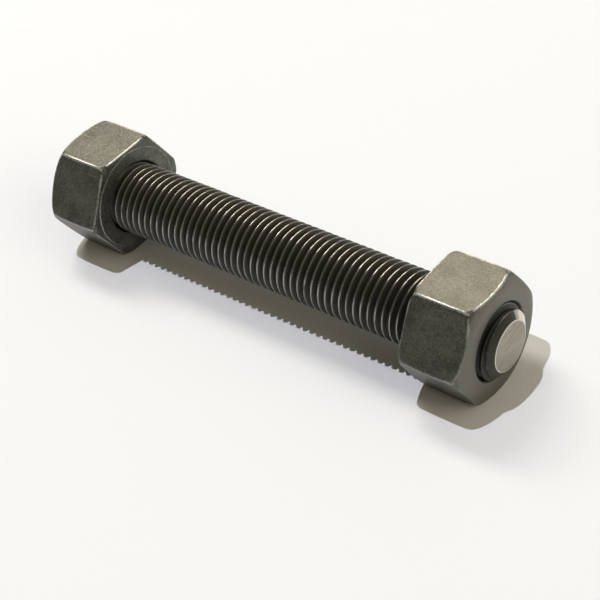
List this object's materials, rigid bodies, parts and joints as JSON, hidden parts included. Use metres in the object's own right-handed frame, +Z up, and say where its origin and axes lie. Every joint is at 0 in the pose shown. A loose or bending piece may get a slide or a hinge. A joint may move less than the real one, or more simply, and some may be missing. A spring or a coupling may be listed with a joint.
{
  "type": "double ended stud",
  "caption": "Threaded rod with a chamfered heavy hex nut run on near each end, for clamping two flanges together.",
  "frame": {"origin": "on the rod's axis at mid length, which is also the middle of the part's box", "axes": "+X along the rod towards right_nut, +Z up; the stud lies on one flat of each nut, at z = -22.3 mm"},
  "size_m": [0.2064, 0.0512, 0.0446],
  "materials": {
    "rod_steel": "satin black oxide",
    "nut_steel": "satin black oxide, bright on worn edges"
  },
  "bodies": {
    "rod": {"threaded_rod": "rod_steel"},
    "left_nut_body": {"left_nut": "nut_steel"},
    "right_nut_body": {"right_nut": "nut_steel"}
  },
  "joints": [
    {"name": "left_nut_travel", "type": "slide", "parent": "rod", "child": "left_nut_body", "axis": [-1, 0, 0], "range_m": [-0.06667, 0.0254]},
    {"name": "right_nut_travel", "type": "slide", "parent": "rod", "child": "right_nut_body", "axis": [1, 0, 0], "range_m": [-0.06667, 0.0254]}
  ]
}
